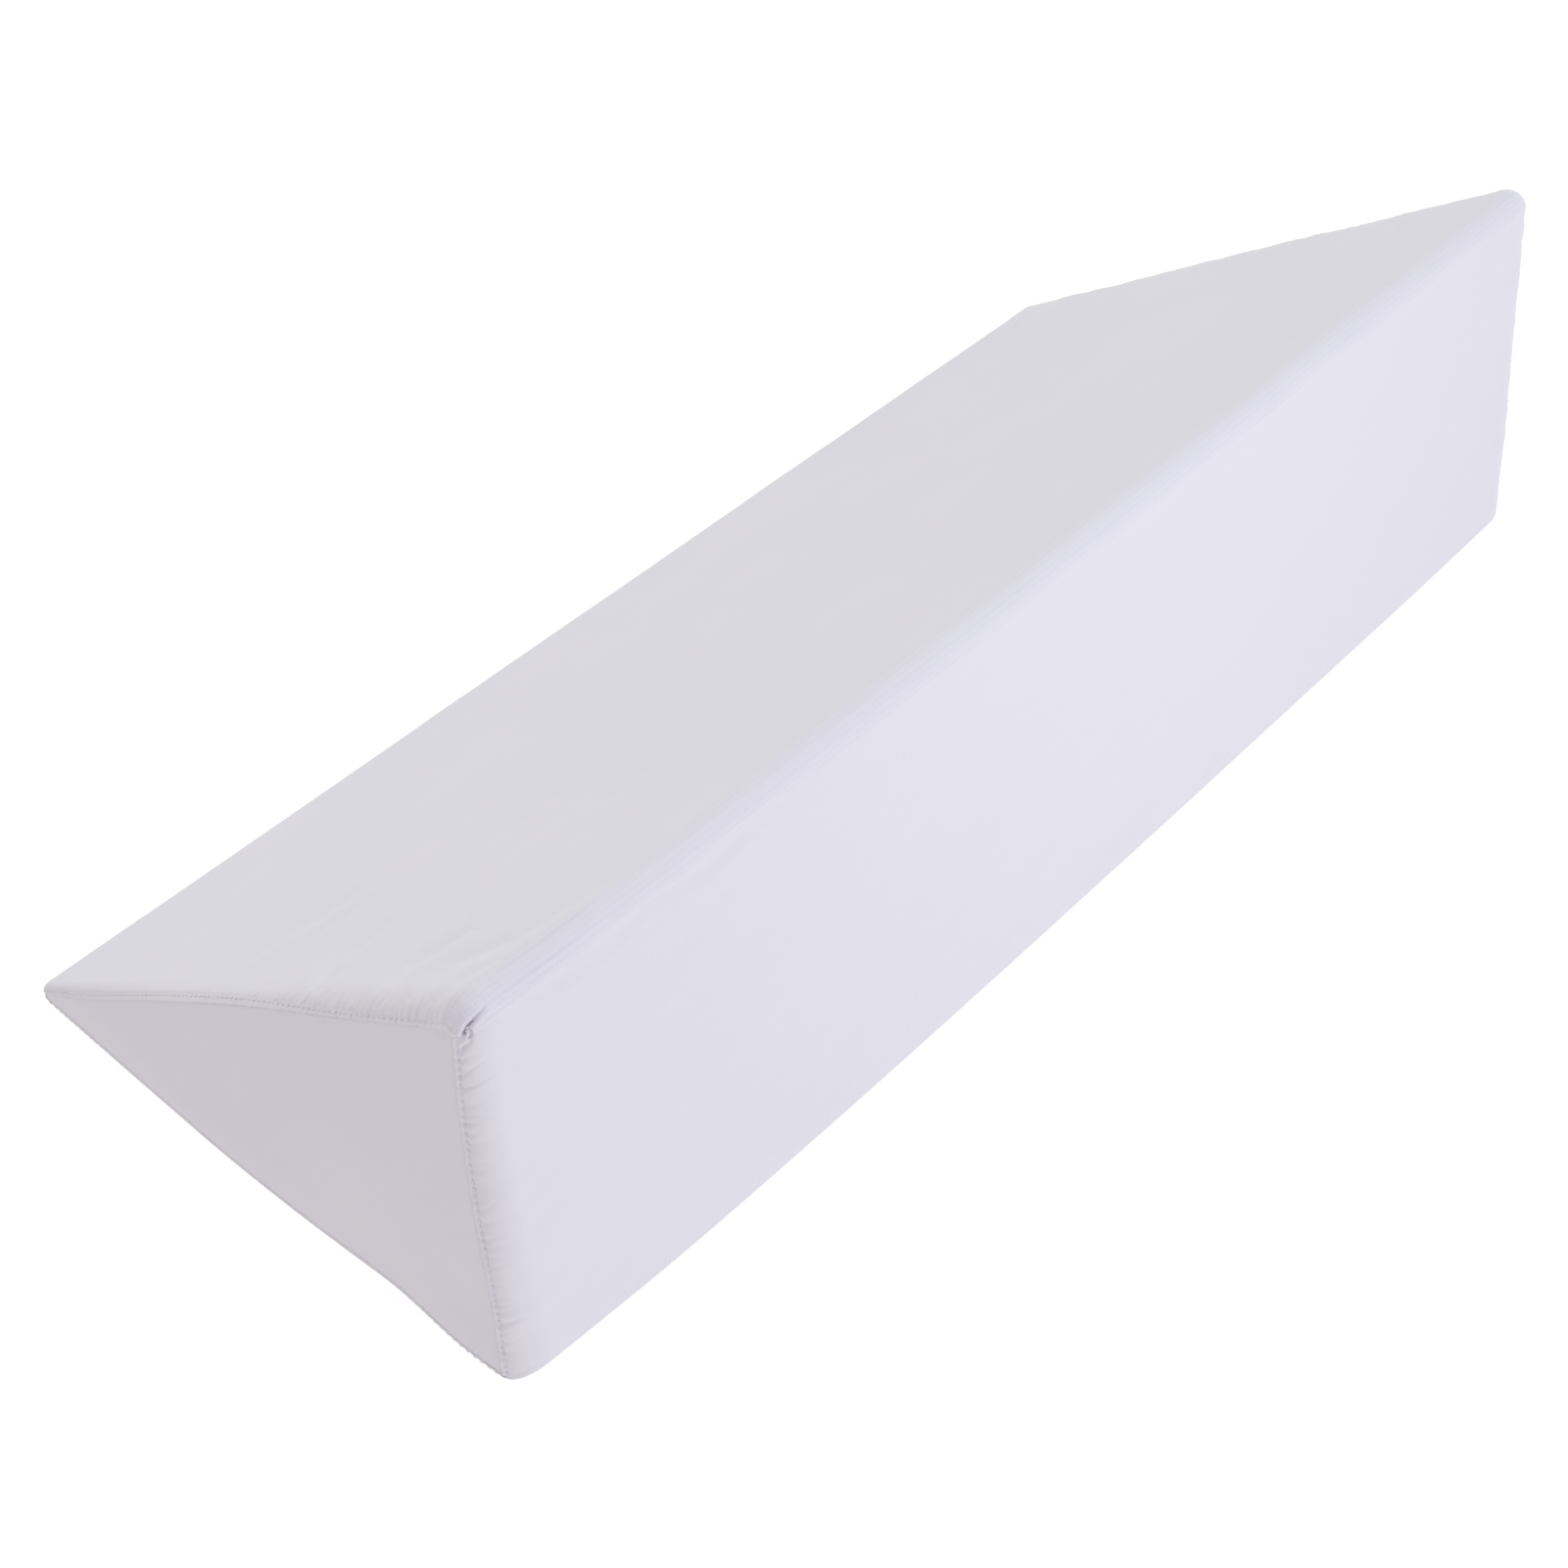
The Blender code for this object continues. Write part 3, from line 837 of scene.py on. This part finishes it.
def cloth_material(name, colour, pitch):
    """Fine plain-woven cloth: two crossing thread sets, slubs, faint tone changes, painted shade in the
    weave's hollows and painted highlight on its crests, and a soft sheen.
    """
    material = bpy.data.materials.new(name)
    material.use_nodes = True
    tree = material.node_tree
    shader = tree.nodes["Principled BSDF"]
    shader.inputs["Specular IOR Level"].default_value = 0.25
    shader.inputs["Sheen Weight"].default_value = 0.10
    shader.inputs["Sheen Roughness"].default_value = 0.5
    where = new_node(tree, "ShaderNodeUVMap", uv_map="cloth")

    # Long slubs in each thread direction, and slow changes of tone
    tone = new_node(tree, "ShaderNodeTexNoise", Scale=14.0, Detail=3.0, Roughness=0.5)
    link(tree, where, "UV", tone, "Vector")
    slubs = []
    for stretch in ((1.0, 0.06, 1.0), (0.06, 1.0, 1.0)):
        pull = new_node(tree, "ShaderNodeMapping")
        pull.inputs["Scale"].default_value = stretch
        link(tree, where, "UV", pull, "Vector")
        slub = new_node(tree, "ShaderNodeTexNoise", Scale=900.0, Detail=2.0, Roughness=0.55)
        link(tree, pull, "Vector", slub, "Vector")
        slubs.append(slub)
    slub = new_node(tree, "ShaderNodeMath", operation="ADD")
    link(tree, slubs[0], "Fac", slub, 0)
    link(tree, slubs[1], "Fac", slub, 1)

    # The weave: each thread set's rounded threads, and the over-and-under of the crossings
    waves = []
    for direction in ("X", "Y"):
        wave = new_node(tree, "ShaderNodeTexWave", wave_type="BANDS", wave_profile="SIN")
        wave.bands_direction = direction
        wave.inputs["Scale"].default_value = 2 * math.pi / 20 / pitch
        wave.inputs["Distortion"].default_value = 0.5
        wave.inputs["Detail"].default_value = 1.0
        wave.inputs["Detail Scale"].default_value = 0.4
        link(tree, where, "UV", wave, "Vector")
        waves.append(wave)
    weave = new_node(tree, "ShaderNodeMath", operation="MULTIPLY")
    link(tree, waves[0], "Fac", weave, 0)
    link(tree, waves[1], "Fac", weave, 1)
    fine = new_node(tree, "ShaderNodeBump", Strength=0.5, Distance=0.00006)
    link(tree, weave, "Value", fine, "Height")
    coarse = new_node(tree, "ShaderNodeBump", Strength=0.5, Distance=0.00007)
    link(tree, slub, "Value", coarse, "Height")
    link(tree, fine, "Normal", coarse, "Normal")
    link(tree, coarse, "Normal", shader, "Normal")

    ramp = new_node(tree, "ShaderNodeValToRGB")
    low, high = ramp.color_ramp.elements
    low.position, high.position = 0.35, 0.65
    low.color = (colour[0] * 0.990, colour[1] * 0.990, colour[2] * 0.996, 1)
    high.color = (colour[0] * 1.004, colour[1] * 1.006, colour[2] * 1.002, 1)
    link(tree, tone, "Fac", ramp, "Fac")
    # Painted shade and highlight: the base colour is multiplied darker in the weave's hollows and lighter on
    # its crests, from the same height that drives the weave's bump
    weave_hollow_shade = new_node(tree, "ShaderNodeMapRange")
    weave_hollow_shade.inputs["To Min"].default_value = 0.975
    weave_hollow_shade.inputs["To Max"].default_value = 1.02
    link(tree, weave, "Value", weave_hollow_shade, "Value")
    tinted = new_node(tree, "ShaderNodeMix", data_type="RGBA", blend_type="MULTIPLY")
    tinted.inputs[0].default_value = 1.0
    tree.links.new(ramp.outputs["Color"], tinted.inputs[6])
    tree.links.new(weave_hollow_shade.outputs["Result"], tinted.inputs[7])
    tree.links.new(tinted.outputs[2], shader.inputs["Base Color"])

    rough = new_node(tree, "ShaderNodeMapRange")
    rough.inputs["From Max"].default_value = 2.0
    rough.inputs["To Min"].default_value = 0.80
    rough.inputs["To Max"].default_value = 0.92
    link(tree, slub, "Value", rough, "Value")
    link(tree, rough, "Result", shader, "Roughness")
    return material


def floor_material():
    material = bpy.data.materials.new("studio_floor")
    material.use_nodes = True
    shader = material.node_tree.nodes["Principled BSDF"]
    shader.inputs["Base Color"].default_value = (FLOOR_GREY, FLOOR_GREY, FLOOR_GREY, 1)
    shader.inputs["Roughness"].default_value = 1.0
    shader.inputs["Specular IOR Level"].default_value = 0.0
    shader.inputs["Emission Color"].default_value = (1, 1, 1, 1)
    shader.inputs["Emission Strength"].default_value = FLOOR_GLOW
    return material


# ---------- scene ----------


def make_camera():
    data = bpy.data.cameras.new("camera")
    data.sensor_width = SENSOR
    data.sensor_fit = "HORIZONTAL"
    data.lens = CAMERA_LENS
    data.shift_x = -(PRINCIPAL[0] - PICTURE / 2) / PICTURE
    data.shift_y = (PRINCIPAL[1] - PICTURE / 2) / PICTURE
    camera = bpy.data.objects.new("camera", data)
    turn = Matrix([RIGHT, -DOWN, -FORWARD]).transposed()
    camera.matrix_world = Matrix.Translation(Vector(CAMERA_EYE)) @ turn.to_4x4()
    bpy.context.collection.objects.link(camera)
    bpy.context.scene.camera = camera


def make_studio():
    mesh = bpy.data.meshes.new("studio_floor")
    corners = [(x * FLOOR_REACH, y * FLOOR_REACH, 0) for x, y in ((-1, -1), (1, -1), (1, 1), (-1, 1))]
    mesh.from_pydata(corners, [], [(0, 1, 2, 3)])
    mesh.materials.append(floor_material())
    floor = bpy.data.objects.new("studio_floor", mesh)
    floor.location.z = -FLOOR_DROP
    bpy.context.collection.objects.link(floor)

    world = bpy.data.worlds.new("studio")
    bpy.context.scene.world = world
    world.use_nodes = True
    tree = world.node_tree
    back = tree.nodes["Background"]
    where = tree.nodes.new("ShaderNodeTexCoord")
    parts = tree.nodes.new("ShaderNodeSeparateXYZ")
    link(tree, where, "Generated", parts, "Vector")
    left = new_node(tree, "ShaderNodeMath", operation="MULTIPLY", use_clamp=True)
    link(tree, parts, "X", left, 0)
    left.inputs[1].default_value = -1.0
    low = new_node(tree, "ShaderNodeMath", operation="SUBTRACT", use_clamp=True)
    low.inputs[0].default_value = 1.0
    link(tree, parts, "Z", low, 1)
    low_left = new_node(tree, "ShaderNodeMath", operation="MULTIPLY")
    link(tree, left, "Value", low_left, 0)
    link(tree, low, "Value", low_left, 1)
    graded = new_node(tree, "ShaderNodeVectorMath", operation="MULTIPLY_ADD")
    link(tree, low_left, "Value", graded, 0)
    graded.inputs[1].default_value = SKY_LEFT
    graded.inputs[2].default_value = SKY
    turned = new_node(tree, "ShaderNodeVectorMath", operation="MULTIPLY_ADD")
    link(tree, parts, "Y", turned, 0)
    turned.inputs[1].default_value = SKY_BACK
    link(tree, graded, "Vector", turned, 2)
    least = new_node(tree, "ShaderNodeVectorMath", operation="MAXIMUM")
    link(tree, turned, "Vector", least, 0)
    least.inputs[1].default_value = SKY_LEAST
    link(tree, least, "Vector", back, "Color")

    data = bpy.data.lights.new("front_light", "AREA")
    data.shape = "DISK"
    data.size = FRONT_LIGHT_SIZE
    data.energy = FRONT_LIGHT_POWER
    data.color = FRONT_LIGHT_COLOUR
    light = bpy.data.objects.new("front_light", data)
    light.location = FRONT_LIGHT_AT
    aim = Vector(FRONT_LIGHT_AIM) - Vector(FRONT_LIGHT_AT)
    light.rotation_euler = aim.to_track_quat("-Z", "Y").to_euler()
    light.visible_camera = False
    bpy.context.collection.objects.link(light)
    bpy.context.scene.view_settings.view_transform = "Standard"
    bpy.context.scene.view_settings.look = "None"


def main():
    cloth = cloth_material("cover_cloth", COVER_COLOUR, 0.55 * MM)
    thread = cloth_material("seam_thread", tuple(c * 0.97 for c in COVER_COLOUR), 0.30 * MM)
    wrap = make_wrap(cloth)
    carve_tuck(wrap)
    pieces = [(wrap, "wedge_body", True)]
    for word, end in (("near", -1.0), ("far", 1.0)):
        pieces.append((make_panel(f"end_cover_{word}", end, cloth), f"end_panel_{word}", True))
        pieces.append((make_stitches(f"seam_stitches_{word}", end, thread), None, False))
    for obj, node, soft in pieces:
        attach(obj, "root")
        if node:
            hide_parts(node)
    make_camera()
    make_studio()


main()
